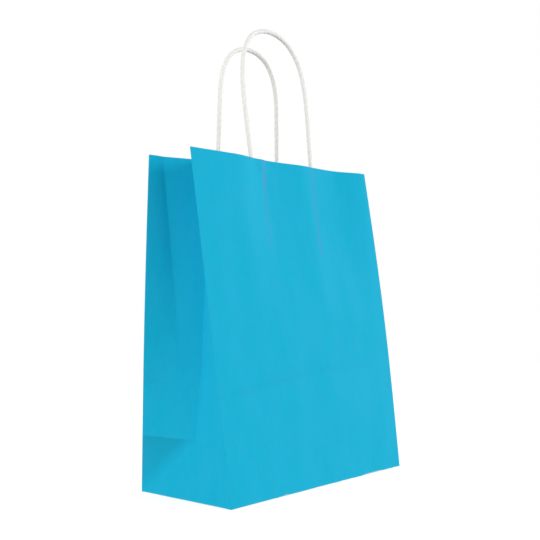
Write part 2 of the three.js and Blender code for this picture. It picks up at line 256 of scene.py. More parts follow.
def half_round():
    """Half the way round the bag, over one panel and one gusset."""
    bag = bpy.context.scene.bag_body
    return bag.width + bag.depth


def pull(x):
    """How far the handle pulls the rim in, 1 where it pulls most and 0 beside it."""
    pulled = ease((x - PULL_STARTS[0]) / (PULL_FULL[0] - PULL_STARTS[0]))
    pulled = pulled * ease((PULL_STARTS[1] - x) / (PULL_STARTS[1] - PULL_FULL[1]))
    return pulled - BULGE * hill(x - BULGE_CENTRE, BULGE_WIDTH)


def panel_point(side, x, s):
    bag = bpy.context.scene.bag_body
    across = x / bag.width + 0.5
    lean = bag.lean_back if side > 0 else bag.lean_left + (bag.lean_right - bag.lean_left) * across
    lean = lean / bag.height
    dip = bag.rim_dip_back if side > 0 else bag.rim_dip
    dip = dip * pull(x) * ease(1 - (bag.height - s) / DIP_REACH)
    bow = bag.belly * (BACK_BOW if side > 0 else across) * np.sin(np.pi * s / bag.height)
    return point(x, side * (bag.depth / 2 - lean * s - dip + bow), s * np.sqrt(1 - lean**2))


def out_of(surface, u, s):
    """The way out of the bag, square to a surface of two coordinates, u to the right and s up."""
    step = 0.0004
    across = surface(u + step, s) - surface(u - step, s)
    up = surface(u, s + step) - surface(u, s - step)
    return unit(np.cross(across, up))


def inside_panel(side, x, s, depth):
    """Points depth inside a panel's outer face."""
    def surface(u, v):
        return panel_point(side, -side * u, v)
    u, s = np.broadcast_arrays(-side * np.asarray(x, float), np.asarray(s, float))
    return surface(u, s) - out_of(surface, u, s) * np.asarray(depth)[..., None]


# The gussets. hand is -1 for the left and 1 for the right, v runs from front to back.

def corner_edge(hand, side, s):
    return panel_point(side, hand * bpy.context.scene.bag_body.width / 2, s)


def crease_plan(hand, s):
    """How far in the centre crease lies, and how far back."""
    bag = bpy.context.scene.bag_body
    front = corner_edge(hand, -1, s)[..., 1]
    back = corner_edge(hand, 1, s)[..., 1]
    settle = ease((s - bag.triangle) / CREASE_SETTLE)
    folded = bag.tip_share + (bag.crease_share - bag.tip_share) * settle
    inwards = folded * np.sqrt((bag.depth / 2) ** 2 - ((back - front) / 2) ** 2)
    return inwards, (front + back) / 2 * settle


def triangle_point(hand, y, s):
    """A point of the flat triangle folded in at the base."""
    bag = bpy.context.scene.bag_body
    tip_in = crease_plan(hand, bag.triangle)[0]
    tip_up = math.sqrt(bag.triangle**2 - tip_in**2)
    climb = s / bag.triangle
    return point(hand * (bag.width / 2 - climb * tip_in), y, climb * tip_up)


def crease_line(hand, s):
    """The centre crease above the triangle, at heights that keep its length along the paper."""
    bag = bpy.context.scene.bag_body
    line = np.linspace(bag.triangle, bag.height + 0.002, 500)
    inwards, y = crease_plan(hand, line)
    run = np.hypot(np.diff(inwards), np.diff(y))
    climb = np.sqrt(np.maximum(0, np.diff(line) ** 2 - run**2))
    start = triangle_point(hand, 0.0, bag.triangle)[2]
    height = start + np.concatenate([[0], np.cumsum(climb)])
    x = hand * (bag.width / 2 - inwards)
    return point(np.interp(s, line, x), np.interp(s, line, y), np.interp(s, line, height))


def ridge_at(s):
    """Where the bend crosses a half gusset, as a share of the half from the centre crease."""
    bag = bpy.context.scene.bag_body
    climb = np.clip((s - bag.triangle) / (bag.height - bag.triangle), 0, 1)
    return RIDGE_START + (RIDGE_END - RIDGE_START) * climb


def bend_depth(s):
    """How far the bend is sunk."""
    bag = bpy.context.scene.bag_body
    grown = ease((s - bag.bend_fades) / (bag.bend_deepest - bag.bend_fades))
    back = ease((s - bag.bend_deepest) / (bag.height - bag.bend_deepest))
    return bag.bend * grown * (1 - (1 - bag.bend_at_rim) * back)


def half_gusset(hand, side, q, s):
    """Points from the centre crease, at q 0, to a corner fold, at q 1."""
    bag = bpy.context.scene.bag_body
    corner = corner_edge(hand, side, s)
    slant = np.clip(1 - s / bag.triangle, 0, 1)
    beyond = np.clip((q - slant) / np.maximum(1 - slant, 1e-9), 0, 1)
    fold = triangle_point(hand, side * np.minimum(q, slant) * bag.depth / 2, s)
    low = blend(fold, corner, beyond)
    ridge = ridge_at(s)
    sunk = np.where(q < ridge, q / ridge, ((1 - q) / (1 - ridge)) ** BEND_HOLLOW)
    crease = crease_line(hand, s)
    along = corner - crease
    outwards = unit(point(hand * side * along[..., 1], -hand * side * along[..., 0], 0 * s))
    high = blend(crease, corner, q) - outwards * (bend_depth(s) * sunk)[..., None]
    return np.where((s < bag.triangle)[..., None], low, high)


def gusset_point(hand, v, s):
    q = np.clip(np.abs(v) / (bpy.context.scene.bag_body.depth / 2), 0, 1)
    return np.where((v < 0)[..., None], half_gusset(hand, -1, q, s), half_gusset(hand, 1, q, s))


# The whole wall, at u round the bag from the front left corner fold and s up the paper

def folded_wall(u, s):
    bag = bpy.context.scene.bag_body
    turn = half_round()
    u = np.mod(u, 2 * turn)
    right = gusset_point(1, u - bag.width - bag.depth / 2, s)
    left = gusset_point(-1, turn + bag.width + bag.depth / 2 - u, s)
    places = [u < bag.width, u < turn, u < turn + bag.width]
    surfaces = [
        panel_point(-1, u - bag.width / 2, s),
        right,
        panel_point(1, turn + bag.width / 2 - u, s),
    ]
    return np.select([p[..., None] for p in places], surfaces, left)


def wall_point(u, s):
    """The wall with its folds softened, as paper bends."""
    bag = bpy.context.scene.bag_body
    u, s = np.broadcast_arrays(np.asarray(u, float), np.asarray(s, float))
    reach = np.minimum(bag.fold_radius, np.minimum(s, bag.height - s))
    reach = np.maximum(reach, 0)
    total = 0
    for across, weight in ((-1, 0.25), (0, 0.5), (1, 0.25)):
        for up, share_up in ((-1, 0.25), (0, 0.5), (1, 0.25)):
            moved = folded_wall(u + across * bag.fold_radius, s + up * reach)
            total = total + weight * share_up * moved
    return total


def way_out(u, s):
    """The way out of the wall, taken clear of its cut edges."""
    bag = bpy.context.scene.bag_body
    return out_of(wall_point, u, np.clip(s, CUT_EDGE, bag.height - CUT_EDGE))


# Meshes

def grid_faces(rows, columns, splits):
    """Quads of a grid, the quads named in splits cut in two along the fold that crosses them."""
    faces = []
    for r in range(rows - 1):
        for c in range(columns - 1):
            a, b = r * columns + c, r * columns + c + 1
            d, e = a + columns, b + columns
            way = splits.get((r, c))
            if way == "rising":
                faces += [(a, b, e), (a, e, d)]
            elif way == "falling":
                faces += [(a, b, d), (b, e, d)]
            else:
                faces.append((a, b, e, d))
    return faces


def merge_edges(mesh):
    """Joins grids where their edges lie on each other."""
    merged = bmesh.new()
    merged.from_mesh(mesh)
    bmesh.ops.remove_doubles(merged, verts=merged.verts, dist=1e-6)
    merged.to_mesh(mesh)
    merged.free()


def sheet_mesh(name, parts):
    """A mesh of several grids, whose shared edges are merged. Each part is points, uv, marks, splits."""
    points, flat, marks, faces = [], [], [], []
    for grid, uv, mark, splits in parts:
        start = sum(len(p) for p in points)
        rows, columns = grid.shape[:2]
        faces += [tuple(i + start for i in f) for f in grid_faces(rows, columns, splits)]
        points.append(grid.reshape(-1, 3))
        flat.append(uv.reshape(-1, 2))
        marks.append(mark.reshape(-1, mark.shape[-1]))
    points, flat, marks = np.concatenate(points), np.concatenate(flat), np.concatenate(marks)
    mesh = bpy.data.meshes.new(name)
    mesh.from_pydata(points.tolist(), [], faces)
    corners = np.zeros(len(mesh.loops), np.int32)
    mesh.loops.foreach_get("vertex_index", corners)
    mesh.uv_layers.new(name="paper").data.foreach_set("uv", flat[corners].astype(np.float32).ravel())
    # On the wall the first mark is fold wear and the second painted shade in the hollow; on a cord the first
    # is painted shade in its grooves
    for key, values in zip(("fold", "hollow_painted_shade"), marks.T):
        layer = mesh.attributes.new(key, "FLOAT", "POINT")
        layer.data.foreach_set("value", values.astype(np.float32))
    merge_edges(mesh)
    piece = bpy.data.objects.new(name, mesh)
    bpy.context.scene.collection.objects.link(piece)
    return piece


def pick(piece):
    bpy.ops.object.select_all(action="DESELECT")
    piece.select_set(True)
    bpy.context.view_layer.objects.active = piece


def thicken(piece, thickness):
    """Gives a sheet its thickness, inwards from its outer face, and smooths all but its cut edges."""
    pick(piece)
    solid = piece.modifiers.new("Thickness", "SOLIDIFY")
    solid.thickness = thickness
    solid.offset = -1
    solid.use_even_offset = True
    solid.material_offset = 1
    solid.material_offset_rim = 1
    bpy.ops.object.modifier_apply(modifier=solid.name)
    bpy.ops.object.shade_smooth_by_angle(angle=math.radians(40))


def give(piece, slot, *nodes):
    """Puts a finished piece on the bag's body, in place of its CAD nodes."""
    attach(piece, "root")
    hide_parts(*nodes)


# The bag body

def gusset_shares(tip_shares, s):
    """Places across a half gusset, which follow its bend up to the rim."""
    ridge = ridge_at(s)
    near = tip_shares * ridge / RIDGE_START
    far = ridge + (1 - ridge) * (tip_shares - RIDGE_START) / (1 - RIDGE_START)
    return np.where(tip_shares < RIDGE_START, near, far)


def wall_places():
    """Rows s and, for each, places u round the bag, with the splits along the triangle's folds."""
    bag = bpy.context.scene.bag_body
    half = bag.depth / 2
    turn = half_round()
    near = graded(0, RIDGE_START * half, CREASE_SPACING)[:-1]
    tip_shares = np.concatenate([near, graded(RIDGE_START * half, half, GUSSET_SPACING)]) / half
    low = bag.triangle * (1 - tip_shares[::-1])
    rows = np.concatenate([low, graded(bag.triangle, bag.height, ROW_SPACING)[1:]])
    panel = graded(0, bag.width, PANEL_SPACING)
    u = []
    for s in rows:
        q = gusset_shares(tip_shares, s)
        gusset = np.concatenate([half * (1 - q[::-1]), half * (1 + q[1:])])
        side = np.concatenate([panel, bag.width + gusset[1:]])
        u.append(np.concatenate([side, turn + side[1:]]))
    count = len(tip_shares) - 1
    splits = {}
    for first in (len(panel) - 1, 2 * len(panel) - 2 + 2 * count):
        for i in range(count):
            splits[(i, first + i)] = "rising"
            splits[(i, first + 2 * count - 1 - i)] = "falling"
    return rows, np.array(u), splits


def stroke_depth(u, s, places):
    """How deep the paper is pressed along strokes, 1 on the strongest."""
    depth = np.zeros_like(u)
    for start, stop, half_width, strength in places:
        start, way = np.array(start), np.array(stop) - np.array(start)
        along = ((u - start[0]) * way[0] + (s - start[1]) * way[1]) / (way @ way)
        across = ((s - start[1]) * way[0] - (u - start[0]) * way[1]) / np.linalg.norm(way)
        ends = ease(along / STROKE_FADE) * ease((1 - along) / STROKE_FADE)
        depth = np.maximum(depth, strength * ends * hill(across, half_width))
    return depth


def waves(u, s):
    """Low waves of the paper, between 37 and 83 mm long."""
    full = 2 * np.pi
    wave = 0.00012 * np.sin(full * (u / 0.061 + 0.6 * s)) * np.sin(9 * s + 1.1)
    wave += 0.00010 * np.sin(full * (u / 0.037 - 1.9 * s) + 0.7)
    wave += 0.00012 * np.sin(full * (s / 0.083 + 2.3 * u) + 2.0)
    return wave


def clear_of_patches(across, s):
    """1 away from the patches and 0 where they hold the panel flat."""
    bag, handle = bpy.context.scene.bag_body, bpy.context.scene.bag_handles
    beside = np.abs(across - bag.width / 2) - handle.patch_width / 2 - PATCH_SIDE
    below = bag.height - s - handle.patch_drop - handle.patch_height - PATCH_FOOT
    return np.maximum(ease(beside / SWELL_FADE), ease(below / SWELL_FADE))


def relief(u, s):
    """How far the standing paper swells and creases, out of its plain folded shape."""
    bag = bpy.context.scene.bag_body
    turn = half_round()
    across = np.mod(u, turn)
    on_panel = across < bag.width
    to_fold = np.where(
        on_panel,
        np.minimum(across, bag.width - across),
        np.minimum(across - bag.width, turn - across),
    )
    free = np.where(on_panel, clear_of_patches(across, s), 1.0)
    swell = ease(to_fold / SWELL_FADE) * waves(u, s) * free
    near_rim = ease((s - bag.height + SWELL_FADE) / SWELL_FADE)
    swell += KINK_HEIGHT * hill(u - KINK_PLACE, KINK_WIDTH) * near_rim
    swell -= CREASE_DEPTH * ease(to_fold / CREASE_FADE) * stroke_depth(u, s, CREASES)
    return swell - RUB_DEPTH * stroke_depth(u, s, RUBS)


def hollow_shade(u, s):
    """How much painted shade each place takes in the hollow beside the triangle, on the back half of a
    gusset.
    """
    bag = bpy.context.scene.bag_body
    across = np.mod(u, half_round())
    from_crease = (across - bag.width) / (bag.depth / 2) - 1
    behind = np.where(u < half_round(), from_crease, -from_crease)
    slant = 1 - s / bag.triangle
    under = ease((behind - slant - HOLLOW_START) / HOLLOW_FADE)
    under = under * ease((bag.triangle - s) / HOLLOW_EDGE + 0.5)
    shade = under * (HOLLOW_FOOT + (1 - HOLLOW_FOOT) * np.clip(s / bag.triangle, 0, 1) ** 2)
    return np.clip(np.where(across > bag.width, shade, 0), 0, 1)


def marks(u, s):
    """How much each place is worn as a fold or an edge, and how much painted shade it takes in the hollow.
    """
    bag = bpy.context.scene.bag_body
    turn = half_round()
    across = np.mod(u, turn)
    worn = sum(hill(away, CORNER_WEAR) for away in (across, across - bag.width, turn - across))
    worn = worn + hill(s, BASE_WEAR) + 0.5 * hill(bag.height - s, RIM_WEAR)
    return np.stack([np.clip(worn, 0, 1), hollow_shade(u, s)], -1)


def wall_part():
    rows, u, splits = wall_places()
    s = np.broadcast_to(rows[:, None], u.shape)
    grid = wall_point(u, s) + way_out(u, s) * relief(u, s)[..., None]
    return grid, np.stack([u, s], -1), marks(u, s), splits


def flap_part(base, flat, inwards, narrows, lift):
    """A bottom flap that folds in from a base fold. base is the fold's points, from left to right."""
    bag = bpy.context.scene.bag_body
    reach = np.concatenate([[0, 0.0004, 0.0009, FLAP_BEND], np.linspace(0.003, bag.flap, 14)])[::-1]
    grid = []
    for t in reach:
        row = base + np.array(inwards) * t
        if narrows:
            row[:, 0] = base[:, 0] * (1 - t / (bag.width / 2))
        row[:, 2] = lift * ease(t / FLAP_BEND)
        grid.append(row)
    grid = np.array(grid)
    uv = np.stack(np.broadcast_arrays(flat[None, :], -reach[:, None]), -1)
    fold = np.broadcast_to(hill(reach, BASE_WEAR)[:, None], uv.shape[:2])
    return grid, uv, np.stack([fold, 0 * fold], -1), {}


def bottom_parts(wall, flat):
    """The four bottom flaps, the gussets' ones above those of the panels."""
    bag = bpy.context.scene.bag_body
    ply = bag.paper * PLY_PITCH
    base, u = wall[0], flat[0, :, 0]
    turn = half_round()
    lines = [
        (0, bag.width, (0, 1, 0), True, 0),
        (turn, turn + bag.width, (0, -1, 0), True, ply),
        (bag.width, turn, (-1, 0, 0), False, 2 * ply),
        (turn + bag.width, 2 * turn, (1, 0, 0), False, 2 * ply),
    ]
    parts = []
    for start, stop, inwards, narrows, lift in lines:
        along = (u > start - 1e-7) & (u < stop + 1e-7)
        parts.append(flap_part(base[along], u[along], inwards, narrows, lift))
    return parts


def seam_part(rows):
    """The glue flap inside the back panel, beside its right corner fold."""
    bag = bpy.context.scene.bag_body
    u = half_round() + np.linspace(bag.seam_set_back, bag.seam_flap, 8)
    s = rows[rows > 0.002]
    u, s = np.broadcast_arrays(u[None, :], s[:, None])
    grid = wall_point(u, s) + way_out(u, s) * (relief(u, s) - PLY_PITCH * bag.paper)[..., None]
    return grid, np.stack([u, s], -1), np.zeros(u.shape + (2,)), {}


class AddBagBody(bpy.types.Operator):
    """Adds the folded kraft paper body of the bag"""

    bl_idname = "carrier_bag.add_body"
    bl_label = "Bag body"

    def execute(self, context):
        bag = context.scene.bag_body
        wall = wall_part()
        parts = [wall, *bottom_parts(wall[0], wall[1]), seam_part(wall[1][:, 0, 1])]
        piece = sheet_mesh("bag_shell", parts)
        piece.data.materials.append(kraft("blue_kraft", bag.blue, True))
        piece.data.materials.append(kraft("white_kraft", bag.white, False))
        thicken(piece, bag.paper)
        give(piece, "blue_kraft", "bag_body")
        return {"FINISHED"}


# The handle cords

# Half a loop, as shares of half its width and of its rise, from the straight leg to near the top
ARCH = ((1, 0.48), (0.975, 0.64), (0.895, 0.77), (0.76, 0.865), (0.56, 0.94), (0.29, 0.985))
SPAN_POINTS = 20  # from one stop of a cord to the next, before they are spaced evenly
CORD_STEP = 0.001  # between the sections of a cord
CORD_SIDES = 24


def cord_depth():
    """How deep a cord's middle lies inside the outer face of its panel."""
    bag, handle = bpy.context.scene.bag_body, bpy.context.scene.bag_handles
    return 2 * (bag.paper + handle.gap) + handle.diameter / 2


def cord_stops(side):
    """The points that a handle's cord passes through, from one end to the other."""
    bag, handle = bpy.context.scene.bag_body, bpy.context.scene.bag_handles
    rise, tilt, spread = (
        (handle.rise_front, handle.tilt_front, handle.spread_front)
        if side < 0
        else (handle.rise_back, handle.tilt_back, handle.spread_back)
    )
    top = bag.height - handle.patch_drop
    low = top - handle.patch_height + handle.cord_set_up
    heights = np.array([*np.linspace(low, top, 4), bag.height])
    legs = [inside_panel(side, handle.centre + h * handle.pitch / 2, heights, cord_depth()) for h in (-1, 1)]
    rim = inside_panel(side, handle.centre, bag.height, cord_depth())
    up = np.array([0, -side * math.sin(tilt), math.cos(tilt)])
    loop = []
    for hand, order in ((-1, ARCH), (1, ARCH[::-1])):
        for out, climb in order:
            stop = rim + up * climb * rise
            stop[0] = handle.centre + hand * out * (handle.pitch / 2 + spread)
            loop.append(stop)
        if hand < 0:
            loop.append(rim + up * rise)
    return np.array([*legs[0], *loop, *legs[1][::-1]])


def smooth_span(a, b, c, d):
    """Points from b up to c on a smooth line through all four."""
    gaps = [np.linalg.norm(b - a), np.linalg.norm(c - b), np.linalg.norm(d - c)]
    t = np.cumsum([0, *np.sqrt(gaps)])
    now = np.linspace(t[1], t[2], SPAN_POINTS, endpoint=False)[:, None]

    def mix(p, q, start, stop):
        return (p * (stop - now) + q * (now - start)) / (stop - start)

    ab, bc, cd = mix(a, b, t[0], t[1]), mix(b, c, t[1], t[2]), mix(c, d, t[2], t[3])
    return mix(mix(ab, bc, t[0], t[2]), mix(bc, cd, t[1], t[3]), t[1], t[2])


def smooth_line(stops, step):
    """Points step apart on a smooth line through the stops, and how far along each is."""
    stops = np.array([2 * stops[0] - stops[1], *stops, 2 * stops[-1] - stops[-2]])
    spans = [smooth_span(*stops[i : i + 4]) for i in range(len(stops) - 3)]
    line = np.concatenate([*spans, stops[-2:-1]])
    along = np.concatenate([[0], np.cumsum(np.linalg.norm(np.diff(line, axis=0), axis=1))])
    places = np.linspace(0, along[-1], round(along[-1] / step) + 1)
    return np.stack([np.interp(places, along, line[:, i]) for i in range(3)], -1), places


def carried_frames(line):
    """Two ways square to the line at each point, turned as little as can be."""
    ways = unit(np.gradient(line, axis=0))
    side = unit(np.cross(ways[0], (0, 1, 0)))
    sides = []
    for way in ways:
        side = unit(side - way * (side @ way))
        sides.append(side)
    sides = np.array(sides)
    return sides, np.cross(ways, sides)


def cord_piece(name, side):
    """A cord of two lobes, twisted, with closed ends."""
    handle = bpy.context.scene.bag_handles
    line, along = smooth_line(cord_stops(side), CORD_STEP)
    first, second = carried_frames(line)
    turn = np.linspace(0, 2 * np.pi, CORD_SIDES + 1)
    radius = handle.diameter / 2 - handle.lobe * np.sin(turn) ** 2
    twist = 2 * np.pi * along / handle.lead
    around = turn[None, :] + twist[:, None]
    grid = (
        line[:, None]
        + first[:, None] * (radius * np.cos(around))[..., None]
        + second[:, None] * (radius * np.sin(around))[..., None]
    )
    uv = np.stack(np.broadcast_arrays(turn[None, :] * handle.diameter / 2, along[:, None]), -1)
    # How deep in a groove each point lies, which the cord's material darkens as painted shade
    groove = np.broadcast_to((np.sin(turn) ** 2)[None, :], uv.shape[:2])
    piece = sheet_mesh(name, [(grid, uv, groove[..., None], {})])
    close_ends(piece)
    return piece


def close_ends(piece):
    """Closes the open ends of a tube, and turns every face outwards."""
    tube = bmesh.new()
    tube.from_mesh(piece.data)
    rims = [e for e in tube.edges if e.is_boundary]
    bmesh.ops.holes_fill(tube, edges=rims)
    bmesh.ops.poke(tube, faces=[f for f in tube.faces if len(f.verts) > 4])
    bmesh.ops.recalc_face_normals(tube, faces=tube.faces)
    tube.to_mesh(piece.data)
    tube.free()
    pick(piece)
    bpy.ops.object.shade_smooth_by_angle(angle=math.radians(50))


class AddHandleCords(bpy.types.Operator):
    """Adds the two twisted paper cord handles"""

    bl_idname = "carrier_bag.add_cords"
    bl_label = "Handle cords"

    def execute(self, context):
        paper = cord_paper(context.scene.bag_handles.cord_colour)
        for name, side in (("front", -1), ("back", 1)):
            piece = cord_piece(f"{name}_cord", side)
            piece.data.materials.append(paper)
            give(piece, "paper_cord", f"{name}_handle_cord")
        return {"FINISHED"}


# The patches that hold the cords

PATCH_COLUMNS = 201
PATCH_ROWS = 31
HUMP_FLANK = math.radians(55)  # how steep the cover patch comes down beside a cord
HUMP_SOFTNESS = 0.0005  # over which the foot of a hump is rounded


def backing_depth(x):
    """Depth of the backing patch's near face, behind the panel."""
    bag, handle = bpy.context.scene.bag_body, bpy.context.scene.bag_handles
    return np.full_like(x, bag.paper + handle.gap)


def cover_depth(x):
    """Depth of the cover patch's near face, flat between the legs and humped over each."""
    bag, handle = bpy.context.scene.bag_body, bpy.context.scene.bag_handles
    floor = 2 * (bag.paper + handle.gap)
    around = handle.diameter / 2 + handle.gap
    shoulder = around * math.sin(HUMP_FLANK)
    shoulder_depth = cord_depth() + around * math.cos(HUMP_FLANK)
    depth = np.full_like(x, floor)
    for hand in (-1, 1):
        off = np.abs(x - handle.centre - hand * handle.pitch / 2)
        top = cord_depth() + np.sqrt(np.maximum(around**2 - off**2, 0))
        slope = shoulder_depth - (off - shoulder) * math.tan(HUMP_FLANK)
        depth = np.maximum(depth, np.where(off < shoulder, top, slope))
    return depth


def softened_depth(x):
    """The cover patch's depth, with the feet of its humps rounded."""
    beside = cover_depth(x - HUMP_SOFTNESS) + cover_depth(x + HUMP_SOFTNESS)
    return (beside + 2 * cover_depth(x)) / 4


def patch_piece(name, side, depth_at):
    """A sheet inside a panel, at the depth that depth_at gives across it."""
    bag, handle = bpy.context.scene.bag_body, bpy.context.scene.bag_handles
    half = handle.patch_width / 2
    x = handle.centre + np.linspace(-half, half, PATCH_COLUMNS)
    top = bag.height - handle.patch_drop
    s = np.linspace(top - handle.patch_height, top, PATCH_ROWS)
    x, s = np.broadcast_arrays(x[None, ::-side], s[:, None])
    grid = inside_panel(side, x, s, depth_at(x))
    piece = sheet_mesh(name, [(grid, np.stack([x, s], -1), np.zeros(x.shape + (1,)), {})])
    thicken(piece, bag.paper)
    return piece


class AddPatches(bpy.types.Operator):
    """Adds the backing and cover patches glued over the cords' ends"""

    bl_idname = "carrier_bag.add_patches"
    bl_label = "Handle patches"

    def execute(self, context):
        handle = context.scene.bag_handles
        paper = kraft("patch_paper", handle.patch_colour, False)
        for name, side in (("front", -1), ("back", 1)):
            for kind, depth_at in (("backing", backing_depth), ("cover", softened_depth)):
                piece = patch_piece(f"{name}_{kind}", side, depth_at)
                piece.data.materials.append(paper)
                give(piece, "patch_paper", f"{name}_{kind}_patch")
        return {"FINISHED"}


# Materials

NOISE_ROUGHNESS = 0.55
PAINTED_CREASE_SHADE_LEVEL = 0.967  # painted shade: how bright the face stays along a crease
HOLLOW_PAINTED_SHADE_LEVEL = 0.82  # painted shade too: how bright the face stays in the hollow beside the triangle


def add(tree, kind, inputs=None, **settings):
    """A node with its settings, each input given a value or a link."""
    made = tree.nodes.new(kind)
    for key, value in settings.items():
        setattr(made, key, value)
    for key, value in (inputs or {}).items():
        if isinstance(value, bpy.types.NodeSocket):
            tree.links.new(value, made.inputs[key])
        else:
            made.inputs[key].default_value = value
    return made


def new_material(name):
    material = bpy.data.materials.new(name)
    material.use_nodes = True
    tree = material.node_tree
    tree.nodes.clear()
    return material, tree


def noise(tree, paper_place, scale, stretch, detail=3.0):
    """Noise on the flat paper, scale marks to the metre, stretched up the paper."""
    moved = add(tree, "ShaderNodeMapping", {0: paper_place, 3: (scale, scale / stretch, 1.0)})
    inputs = {"Vector": moved.outputs[0], "Scale": 1.0, "Detail": detail, "Roughness": NOISE_ROUGHNESS}
    return add(tree, "ShaderNodeTexNoise", inputs).outputs["Fac"]


def span(tree, value, low, high, inner=(0.25, 0.75)):
    """A value spread over low to high."""
    return add(tree, "ShaderNodeMapRange", {0: value, 1: inner[0], 2: inner[1], 3: low, 4: high}).outputs[0]


def maths(tree, operation, a, b):
    """Two values joined by the operation of that name."""
    return add(tree, "ShaderNodeMath", {0: a, 1: b}, operation=operation).outputs[0]


def times(tree, a, b):
    return maths(tree, "MULTIPLY", a, b)


def tinted(tree, amount, base, other):
    """The base colour, mixed with the other by the amount."""
    made = add(tree, "ShaderNodeMix", {0: amount, 6: base, 7: rgba(other)}, data_type="RGBA")
    return made.outputs[2]


def shaded(tree, base, value):
    """The colour with its brightness multiplied by the value."""
    level = add(tree, "ShaderNodeCombineColor", {0: value, 1: value, 2: value}).outputs[0]
    made = add(tree, "ShaderNodeMix", {0: 1.0, 6: base, 7: level}, data_type="RGBA", blend_type="MULTIPLY")
    return made.outputs[2]


def mark(tree, name):
    """A mark that the mesh holds at each of its points."""
    return add(tree, "ShaderNodeAttribute", attribute_name=name).outputs["Fac"]


def rgba(colour):
    return (*colour, 1.0)


def soft_step(tree, value, start, stop):
    """1 up to start and 0 from stop on."""
    inputs = {0: value, 1: start, 2: stop, 3: 1.0, 4: 0.0}
    return add(tree, "ShaderNodeMapRange", inputs, interpolation_type="SMOOTHSTEP").outputs[0]


def distance(tree, value, place):
    away = maths(tree, "SUBTRACT", value, place)
    return add(tree, "ShaderNodeMath", {0: away}, operation="ABSOLUTE").outputs[0]


def stroke(tree, paper_place, start, stop, half_width, strength):
    """A soft stroke on the flat paper."""
    way = Vector(stop) - Vector(start)
    moved = add(tree, "ShaderNodeMapping", {
        0: paper_place,
        1: (*start, 0),
        2: (0, 0, math.atan2(way.y, way.x)),
        3: (way.length, half_width, 1),
    }, vector_type="TEXTURE")
    apart = add(tree, "ShaderNodeSeparateXYZ", {0: moved.outputs[0]}).outputs
    along = soft_step(tree, distance(tree, apart[0], 0.5), 0.5 - STROKE_FADE, 0.5)
    across = soft_step(tree, distance(tree, apart[1], 0.0), 0.0, 1.0)
    return times(tree, times(tree, along, across), strength)


def strokes(tree, paper_place, places):
    """All the strokes of a list, the strongest where they meet."""
    total = stroke(tree, paper_place, *places[0])
    for place in places[1:]:
        total = maths(tree, "MAXIMUM", total, stroke(tree, paper_place, *place))
    return total


def dyed_face(tree, place, base, clouds, fibres):
    """What shows on the dyed face: uneven dye, worn folds, rubbed strokes that are partly painted shade, and
    painted shade along the creases and in the hollow.
    """
    bag = bpy.context.scene.bag_body
    patchy = noise(tree, place, 60, 3, 2.0)
    base = tinted(tree, span(tree, patchy, 0.0, 0.6), base, bag.thick_dye)
    worn = times(tree, mark(tree, "fold"), span(tree, fibres, 0.0, 0.03, (0.4, 0.7)))
    base = tinted(tree, worn, base, bag.worn)
    # Rubbed tint and painted shade along the cords' marks
    rub_and_painted_shade = times(tree, strokes(tree, place, RUBS), span(tree, clouds, 0.55, 0.95))
    base = tinted(tree, rub_and_painted_shade, base, bag.rub_and_painted_shade)
    # Painted shade along the creases
    painted_crease_shade = strokes(tree, place, CREASES)
    base = shaded(tree, base, span(tree, painted_crease_shade, 1.0, PAINTED_CREASE_SHADE_LEVEL, (0.0, 1.0)))
    # Painted shade in the hollow beside the triangle
    return shaded(tree, base, span(tree, mark(tree, "hollow_painted_shade"), 1.0, HOLLOW_PAINTED_SHADE_LEVEL, (0.0, 1.0)))


def paper_shader(tree, base, roughness, bump, gloss):
    """Matt paper with a fine bump, joined to the material's output."""
    shader = add(tree, "ShaderNodeBsdfPrincipled", {
        "Base Color": base,
        "Roughness": roughness,
        "Normal": add(tree, "ShaderNodeBump", bump).outputs[0],
        "Specular IOR Level": gloss,
    })
    add(tree, "ShaderNodeOutputMaterial", {0: shader.outputs[0]})


def kraft(name, colour, dyed):
    """Kraft paper: fibres, cloudy formation and fine streaks up the sheet."""
    material, tree = new_material(name)
    place = add(tree, "ShaderNodeUVMap", uv_map="paper").outputs[0]
    clouds = noise(tree, place, 170, 1.2)
    streaks = noise(tree, place, 480, 7, 2.0)
    fibres = noise(tree, place, 1700, 1.6, 3.0)
    level = times(tree, span(tree, clouds, 0.96, 1.04), span(tree, streaks, 0.97, 1.03))
    level = times(tree, level, span(tree, fibres, 0.95, 1.05))
    base = shaded(tree, rgba(colour), level)
    if dyed:
        base = dyed_face(tree, place, base, clouds, fibres)
    bumps = maths(tree, "ADD", fibres, times(tree, streaks, 0.5))
    rough = span(tree, clouds, 0.62, 0.74)
    paper_shader(tree, base, rough, {"Height": bumps, "Distance": 0.00004, "Strength": 0.6}, 0.08)
    return material


def cord_paper(colour):
    """Twisted paper: pleats that run along the twist, and painted shade a little darker in the grooves."""
    material, tree = new_material("paper_cord")
    place = add(tree, "ShaderNodeUVMap", uv_map="paper").outputs[0]
    pleats = noise(tree, place, 1500, 14, 3.0)
    clouds = noise(tree, place, 160, 1.0)
    level = times(tree, span(tree, pleats, 0.965, 1.02), span(tree, clouds, 0.98, 1.02))
    # Painted shade, a little darker in the grooves
    level = times(tree, level, span(tree, mark(tree, "fold"), 1.0, 0.96, (0.4, 1.0)))
    base = shaded(tree, rgba(colour), level)
    rough = span(tree, clouds, 0.62, 0.75)
    paper_shader(tree, base, rough, {"Height": pleats, "Distance": 0.00008, "Strength": 0.5}, 0.3)
    return material


# The stage

FLOOR_DROP = 0.0003  # of the floor's face below the bag's base
AIM_HEIGHT = 0.15  # of the place that the lamps point at
# Ways from the bag to the lamps
LAMP_WAYS = {
    "front": (0.25, -0.95, 0.20),
    "right": (0.95, -0.25, 0.20),
    "left": (-0.97, 0.0, 0.25),
    "back": (-0.75, 0.65, 0.15),
}


